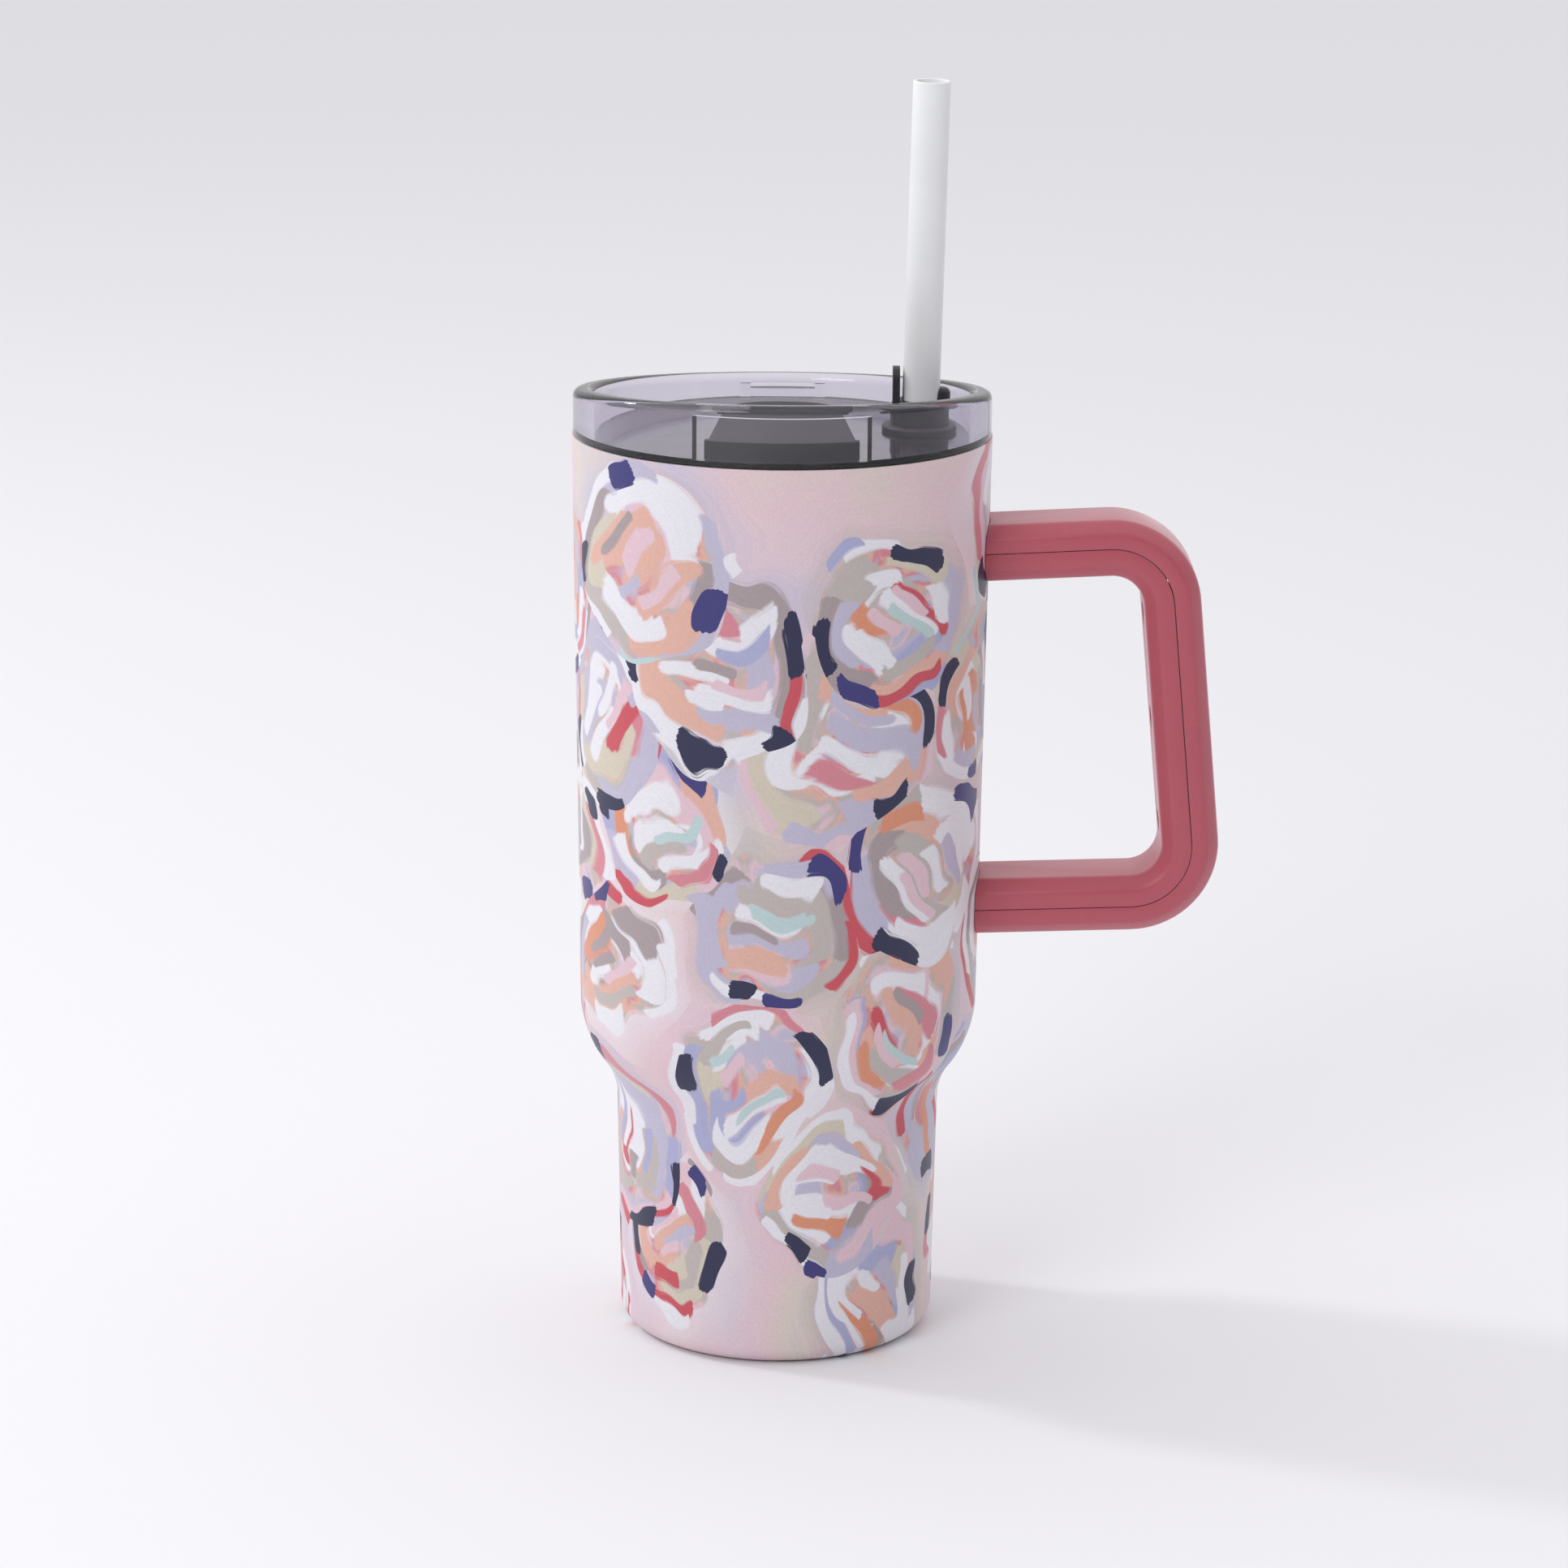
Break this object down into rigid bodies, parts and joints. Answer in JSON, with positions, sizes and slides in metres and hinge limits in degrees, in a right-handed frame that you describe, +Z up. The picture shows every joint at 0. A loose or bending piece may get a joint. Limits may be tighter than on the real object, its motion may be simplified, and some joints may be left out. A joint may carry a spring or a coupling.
{
  "type": "insulated tumbler with lid",
  "caption": "Tall double-walled steel tumbler with a cup-holder foot, a D-shaped side handle, a clear press-in lid with a sliding sip cover, and a straw in a soft grommet.",
  "frame": {"origin": "centre of the foot, on the tumbler's axis, where it stands", "axes": "+Z up the axis to the mouth, +X towards the handle, +Y towards the drinking side of the lid"},
  "size_m": [0.1581, 0.1014, 0.3102],
  "materials": {
    "painted_steel": "powder coat with a soft painted print",
    "bare_steel": "satin",
    "copper": "bright foil",
    "sealing_glass": "fired bead",
    "getter_metal": "sintered",
    "handle_plastic": "fine matt grain",
    "screw_steel": "plain",
    "clear_plastic": "clear, lilac-grey tint",
    "dark_silicone": "satin",
    "slider_plastic": "satin",
    "straw_plastic": "frosted, translucent"
  },
  "bodies": {
    "tumbler": {"outer_shell": "painted_steel", "inner_liner": "bare_steel", "copper_foil": "copper", "outer_base": "bare_steel", "vacuum_seal": "sealing_glass", "getter": "getter_metal", "base_cover": "bare_steel", "handle_outer_shell": "handle_plastic", "handle_inner_shell": "handle_plastic", "upper_bracket": "bare_steel", "lower_bracket": "bare_steel", "bracket_screws": "screw_steel", "grip_screws": "screw_steel"},
    "lid": {"lid_shell": "clear_plastic", "lid_gasket": "dark_silicone", "straw_grommet": "dark_silicone"},
    "slider": {"slider": "slider_plastic", "slider_seal": "dark_silicone", "slider_retainer": "slider_plastic"},
    "straw": {"straw": "straw_plastic"}
  },
  "joints": [
    {"name": "lid_lift", "type": "slide", "parent": "tumbler", "child": "lid", "axis": [0, 0, 1], "range_m": [0, 0.24]},
    {"name": "slider_slide", "type": "slide", "parent": "lid", "child": "slider", "axis": [0, 1, 0], "range_m": [0, 0.022]},
    {"name": "straw_pull", "type": "slide", "parent": "lid", "child": "straw", "axis": [0.0198, -0.0331, 0.9993], "range_m": [0, 0.24]}
  ]
}
